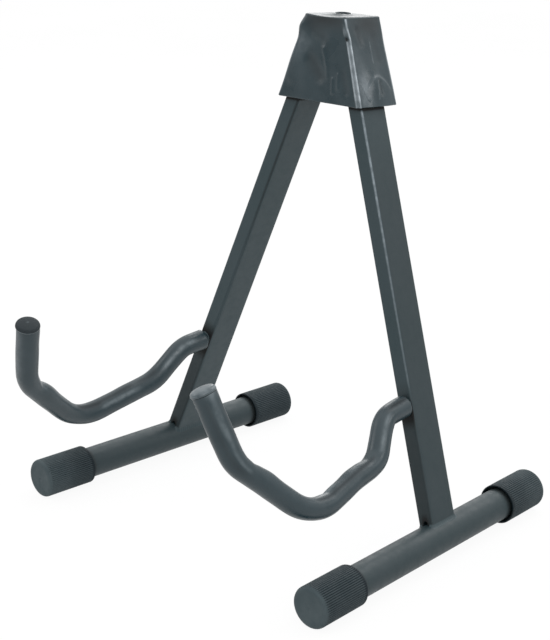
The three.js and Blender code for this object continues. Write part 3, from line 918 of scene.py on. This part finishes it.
def boot_ring(z):
    """The boot's outer section at height z, creases included, and its painted light."""
    points, outward, middle_y = boot_section(z)
    distance, corner = nearest_corner(points)
    x, y = points.T / MM
    relief, painted_light_and_dullness = boot_relief(x, y, z / MM, middle_y / MM, distance / MM, corner)
    return at_height(points + outward * relief[:, None] * MM, z), painted_light_and_dullness


def boot_brim(wall):
    """Rings that round the top edge over from the wall's last ring, with a sag in its front side."""
    frontness = soft_step(-(wall[:, 1] - BOOT_TOP["front"] - 6 * MM), 2.5 * MM)
    across = np.clip(wall[:, 0] / BOOT_TOP["half_width"], -1, 1)
    sag = MM * frontness * np.cos(across * math.pi / 2)
    outer = wall[:, :2] - BOOT_MIDDLE
    reach = np.linalg.norm(outer, axis=1)
    rings = []
    for angle in np.radians(BOOT_BRIM_TURNS):
        shrink = (reach - BOOT_EDGE * (1 - math.cos(angle))) / reach
        z = wall[:, 2] + (BOOT_EDGE - sag) * math.sin(angle)
        rings.append(at_height(BOOT_MIDDLE + outer * shrink[:, None], z))
    return rings


def boot_top(rim):
    """Rings from the rounded edge over the top, up the raised collar of the hole and down through it."""
    top = BOOT_TOP["z"]
    spokes = rim[:, :2] - BOOT_MIDDLE
    bearing = np.arctan2(spokes[:, 1], spokes[:, 0])
    hole = np.column_stack([np.cos(bearing), np.sin(bearing)])
    reach = np.linalg.norm(spokes, axis=1)
    collar = BOOT_HOLE_R + 1.2 * MM
    rings = []
    for t in np.linspace(0, 1, BOOT_TOP_RINGS + 1)[1:]:
        radius = reach + (collar - reach) * t
        dip = 0.5 * MM * math.sin(math.pi * t)
        z = rim[:, 2] * (1 - t) + (top - 0.1 * MM) * t - dip + MM * t**3
        rings.append(at_height(BOOT_MIDDLE + hole * radius[:, None], z))
    tilt = 0.35 * MM * (hole[:, 1] - hole[:, 0])
    for out, up in ((0.75, 1.15), (0.3, 1.1), (0, 0.6)):
        rings.append(at_height(BOOT_MIDDLE + hole * (BOOT_HOLE_R + out * MM), top + up * MM + tilt))
    rings.append(at_height(BOOT_MIDDLE + hole * BOOT_HOLE_R, top - BOOT_TOP_WALL))
    return rings


def boot_inside(hole_edge):
    """Rings from the hole's lower edge under the top and down the inner walls."""
    bottom, inner_top = BOOT_BOTTOM["z"], BOOT_TOP["z"] - BOOT_TOP_WALL
    shell = boot_section(inner_top, BOOT_WALL)[0]
    rings = [at_height(hole_edge + (shell - hole_edge) * t, inner_top) for t in (0.35, 0.7, 0.95)]
    levels = np.linspace(inner_top - MM, bottom + BOOT_LIP, BOOT_INNER_ROWS)
    rings += [at_height(boot_section(z, BOOT_WALL)[0], z) for z in levels]
    rings.append(at_height(boot_section(bottom, BOOT_WALL - 0.4 * MM)[0], bottom))
    return rings


def hinge_boot():
    bottom, top = BOOT_BOTTOM["z"], BOOT_TOP["z"]
    levels = [bottom, *np.linspace(bottom + BOOT_LIP, top - BOOT_EDGE, BOOT_ROWS)]
    rings, painted_light_and_dullness = map(list, zip(*[boot_ring(z) for z in levels]))
    rings[0][:, :2] *= 1 - BOOT_LIP / (30 * MM)
    rings += boot_brim(rings[-1])
    rings += boot_top(rings[-1])
    rings += boot_inside(rings[-1][:, :2])
    # painted shade and dullness over the rounded edge, growing towards the top
    for share in (*BOOT_BRIM_SHADE_SHARES, *[1] * BOOT_TOP_RINGS):
        painted_light_and_dullness.append(np.full(len(rings[0]), BOOT_TOP_SHADE_AND_DULLNESS * share))
    place = Matrix.Translation(boot_pivot()) @ Matrix.Rotation(-BOOT_LEAN, 4, "X")
    return skin("boot", rings, smooth_angle=55, painted_light_and_dullness=painted_light_and_dullness, place=place)


# ---------- finishes ----------


def fill(node, **values):
    """Sets a node's inputs, whose names have _ for each space."""
    for key, value in values.items():
        node.inputs[key.replace("_", " ")].default_value = value
    return node


class Finish:
    """A Principled material whose colour, roughness and bump come from noise and from the mesh's painted light and
    dullness.
    """

    def __init__(self, name, tone, **values):
        self.material = bpy.data.materials.new(name)
        self.material.use_nodes = True
        self.tree = self.material.node_tree
        self.shader = fill(self.tree.nodes["Principled BSDF"], **values)
        self.place = self.add("ShaderNodeTexCoord").outputs["Object"]
        self.tone = tone
        self.height = None

    def add(self, kind, **values):
        return fill(self.tree.nodes.new(kind), **values)

    def link(self, source, target):
        self.tree.links.new(source, target)

    def raw_noise(self, scale, detail, stretch=None):
        node = self.add("ShaderNodeTexNoise", Scale=scale, Detail=detail)
        place = self.place
        if stretch:
            mapping = self.add("ShaderNodeMapping", Scale=stretch)
            self.link(place, mapping.inputs["Vector"])
            place = mapping.outputs["Vector"]
        self.link(place, node.inputs["Vector"])
        return node.outputs["Fac"]

    def spread(self, value, start, end, low, high):
        """Turns start to end into low to high, and stays within them."""
        node = self.add("ShaderNodeMapRange", From_Min=start, From_Max=end, To_Min=low, To_Max=high)
        self.link(value, node.inputs["Value"])
        return node.outputs["Result"]

    def noise(self, scale, detail, low=0, high=1, window=(0.35, 0.65), stretch=None):
        return self.spread(self.raw_noise(scale, detail, stretch), *window, low, high)

    def worn(self, full):
        """0 to 1 as the mesh's painted light and dullness attribute goes from 0 to full."""
        node = self.add("ShaderNodeAttribute")
        node.attribute_name = "painted_light_and_dullness"
        return self.spread(node.outputs["Fac"], 0, full, 0, 1)

    def tint(self, share, colour):
        """Lays a colour over the tone so far."""
        node = self.add("ShaderNodeMix")
        node.data_type = "RGBA"
        under = node.inputs[6]
        self.link(share, node.inputs[0])
        if isinstance(self.tone, tuple):
            under.default_value = (*self.tone, 1)
        else:
            self.link(self.tone, under)
        node.inputs[7].default_value = (*colour, 1)
        self.tone = node.outputs[2]
        self.link(self.tone, self.shader.inputs["Base Color"])

    def rubbed(self, colour, *noise):
        """Lays a painted highlight colour where the attribute is above 0, broken up by noise."""
        node = self.add("ShaderNodeMath")
        node.operation = "MULTIPLY"
        self.link(self.worn(1), node.inputs[0])
        self.link(self.noise(*noise), node.inputs[1])
        self.tint(node.outputs[0], colour)

    def roughness(self, *noise, dull=None):
        """Where the painted light and dullness attribute is -1 the roughness is dull instead, if that is given."""
        value = self.noise(*noise)
        if dull is not None:
            node = self.add("ShaderNodeMix", B=dull)
            self.link(self.worn(-1), node.inputs["Factor"])
            self.link(value, node.inputs["A"])
            value = node.outputs["Result"]
        self.link(value, self.shader.inputs["Roughness"])

    def bump(self, scale, detail, depth):
        """Adds relief of about depth metres under what is already there."""
        node = self.add("ShaderNodeBump", Strength=1, Distance=depth)
        self.link(self.raw_noise(scale, detail), node.inputs["Height"])
        if self.height is not None:
            self.link(self.height, node.inputs["Normal"])
        self.height = node.outputs["Normal"]
        self.link(self.height, self.shader.inputs["Normal"])


def powder_coat():
    finish = Finish("powder coat", (0.014, 0.030, 0.035), Specular_IOR_Level=0.33)
    finish.tint(finish.noise(28, 3), (0.020, 0.035, 0.041))
    finish.tint(finish.noise(2600, 2, window=(0.42, 0.62)), (0.024, 0.040, 0.046))
    # painted shade where the attribute is below 0, and the foot tubes' darker tone all over
    finish.tint(finish.worn(-1), (0.002, 0.003, 0.003))
    # painted highlight where the attribute is above 0, on the right leg's front edge
    finish.rubbed((0.200, 0.235, 0.260), 210, 3, 0.5, 1, (0.4, 0.7))
    finish.roughness(160, 3, 0.36, 0.48, dull=0.75)
    finish.bump(850, 2, 0.00002)
    finish.bump(3200, 2, 0.000008)
    return finish


def soft_sleeve():
    finish = Finish("soft sleeve", (0.011, 0.024, 0.030), Specular_IOR_Level=0.42)
    finish.tint(finish.noise(45, 3), (0.017, 0.031, 0.038))
    # painted shade where the attribute is below 0: darkened streaks and the left tip's top
    finish.tint(finish.worn(-1), (0.004, 0.007, 0.009))
    # painted highlight where the attribute is above 0: streaks, tip rims and the right tip's top
    finish.rubbed((0.120, 0.145, 0.158), 150, 2, 0.4)
    finish.roughness(90, 3, 0.28, 0.42, dull=0.95)
    finish.bump(120, 2, 0.00016)
    finish.bump(1800, 2, 0.000010)
    return finish


def boot_vinyl():
    finish = Finish("boot vinyl", (0.010, 0.023, 0.029), Specular_IOR_Level=0.42)
    finish.tint(finish.noise(38, 3), (0.018, 0.033, 0.040))
    # painted shade where the attribute is below 0: hollow creases, the notch's dent, dark patches and the top
    finish.tint(finish.worn(-1), (0.003, 0.005, 0.006))
    # painted highlight where the attribute is above 0: corner folds, ridges, sharp creases and bright patches
    finish.rubbed((0.320, 0.360, 0.390), 190, 2, 0.6)
    finish.roughness(70, 3, 0.24, 0.38, dull=0.7)
    finish.bump(75, 2, 0.00035)
    finish.bump(1300, 2, 0.000016)
    return finish


def ribbed_rubber():
    finish = Finish("ribbed rubber", (0.040, 0.056, 0.062), Specular_IOR_Level=0.15)
    finish.tint(finish.noise(60, 4), (0.052, 0.069, 0.075))
    # painted shade where the attribute is below 0: the grooves, the mouth and its rim
    finish.tint(finish.worn(-1), (0.004, 0.009, 0.012))
    finish.roughness(220, 3, 0.50, 0.66)
    finish.bump(1500, 3, 0.000014)
    return finish


def zinc_steel():
    finish = Finish("zinc steel", (0.50, 0.51, 0.52), Metallic=1)
    finish.tint(finish.noise(300, 3, stretch=(1, 1, 0.08)), (0.60, 0.61, 0.62))
    finish.roughness(420, 2, 0.28, 0.44)
    finish.bump(900, 2, 0.000006)
    return finish


def nylon():
    finish = Finish("nylon", (0.74, 0.73, 0.67), Specular_IOR_Level=0.45)
    finish.tint(finish.noise(250, 2), (0.80, 0.79, 0.74))
    finish.roughness(700, 2, 0.40, 0.52)
    finish.bump(1500, 2, 0.000008)
    return finish


def pale_floor():
    finish = Finish("pale floor", (0.048, 0.048, 0.048), Roughness=0.8, Specular_IOR_Level=0)
    fill(finish.shader, Emission_Color=(1, 1, 1, 1), Emission_Strength=FLOOR_GLOW)
    finish.tint(finish.noise(3, 3), (0.052, 0.052, 0.052))
    return finish


makers = (powder_coat, soft_sleeve, boot_vinyl, ribbed_rubber, zinc_steel, nylon)
finishes = {maker.__name__: maker().material for maker in makers}


def place(piece, slot, body, *nodes):
    """Gives a new piece its finish, its body and the frame's nodes that it stands for."""
    piece.data.materials.append(finishes[slot])
    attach(piece, body)
    if nodes:
        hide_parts(*nodes)
    return piece


# ---------- the stand ----------

for side, sign in SIDES:
    half = Half(side, sign)
    body = f"{side}_frame"
    for build in (leg_tube, foot_tube, arm_rod):
        place(build(half), "powder_coat", body, f"{side}_{build.__name__}")
    place(rod_weld(half), "powder_coat", body)
    for face in (-1, 1):
        place(foot_weld(half, face), "powder_coat", body)
    sleeve = place(arm_sleeve(half), "soft_sleeve", body, f"{side}_arm_sleeve")
    place(tip_plug(half), "soft_sleeve", body, f"{side}_arm_tip_plug")
    for end in ("front", "rear"):
        place(foot_cap(half, end), "ribbed_rubber", body, f"{side}_{end}_foot_cap")

place(hinge_boot(), "boot_vinyl", "hinge_head", "hinge_boot")

# The bracket, rivets, washers and bushes keep their own meshes and take a finish.
slots = {part["node"]: part["material_slot"] for part in frame["record"]["subparts"]}
for node, piece in frame["nodes"].items():
    if not piece.hide_render:
        piece.data.materials.clear()
        piece.data.materials.append(finishes[slots[node]])

# ---------- floor, light and camera ----------

FLOOR_GLOW = 0.93  # like a light table, so shadows stay faint
FLOOR_HALF = 12.0
SKY_BRIGHT_WAY = Vector((0.0, 0.17, 0.985))
SKY_START = -0.1  # where SKY_LOW starts to rise
SKY_LOW = 0.38
SKY_HIGH = 1.8
LIGHT_TARGET = Vector((0, 0, 0.2))
# Name, bearing and height above the horizon in degrees, distance, size and power.
SOFT_BOXES = (
    ("front right", 48, 20, 2.2, 1.1, 11),
    ("back right", 120, 24, 2.0, 0.5, 3),
    ("front left", -55, 28, 2.2, 0.9, 6),
    ("back left", -138, 20, 2.2, 0.8, 6),
    ("back", 176, 46, 2.0, 1.1, 12),
)


def outward(bearing, height):
    """From the stand, with the bearing in radians from the front towards +X."""
    level = math.cos(height)
    return Vector((math.sin(bearing) * level, -math.cos(bearing) * level, math.sin(height)))


def aim(piece, target, back, distance):
    """Puts a light or camera this far back from its target, and faces it there."""
    piece.location = target + back * distance
    piece.rotation_euler = back.to_track_quat("Z", "Y").to_euler()


def floor():
    mesh = bpy.data.meshes.new("floor")
    corners = [(x * FLOOR_HALF, y * FLOOR_HALF, 0) for x, y in ((-1, -1), (1, -1), (1, 1), (-1, 1))]
    mesh.from_pydata(corners, [], [(0, 1, 2, 3)])
    mesh.materials.append(pale_floor().material)
    add_object("floor", mesh)


def soft_box(name, bearing, height, distance, size, power):
    light = bpy.data.lights.new(name, "AREA")
    light.size = size
    light.energy = power
    back = outward(math.radians(bearing), math.radians(height))
    aim(add_object(name, light), LIGHT_TARGET, back, distance)


def sky():
    """A pale surround, brightest overhead and a little to the back, and dimmest low at the front."""
    world = bpy.data.worlds.new("studio")
    world.use_nodes = True
    tree = world.node_tree
    nodes, links = tree.nodes, tree.links
    direction = nodes.new("ShaderNodeTexCoord").outputs["Generated"]
    toward = nodes.new("ShaderNodeVectorMath")
    toward.operation = "DOT_PRODUCT"
    toward.inputs[1].default_value = SKY_BRIGHT_WAY
    links.new(direction, toward.inputs[0])
    level = nodes.new("ShaderNodeMapRange")
    fill(level, From_Min=SKY_START, From_Max=1, To_Min=SKY_LOW, To_Max=SKY_HIGH)
    links.new(toward.outputs["Value"], level.inputs["Value"])
    background = fill(nodes["Background"], Color=(1, 1, 1, 1))
    links.new(level.outputs["Result"], background.inputs["Strength"])
    bpy.context.scene.world = world


def studio():
    sky()
    for box in SOFT_BOXES:
        soft_box(*box)
    bpy.context.scene.view_settings.view_transform = "Standard"


def camera():
    lens = bpy.data.cameras.new("camera")
    lens.lens = FOCAL_LENGTH
    lens.sensor_width = SENSOR_WIDTH
    piece = add_object("camera", lens)
    aim(piece, CAMERA_TARGET, outward(CAMERA_AZIMUTH, CAMERA_ELEVATION), CAMERA_DISTANCE)
    bpy.context.scene.camera = piece


floor()
studio()
camera()
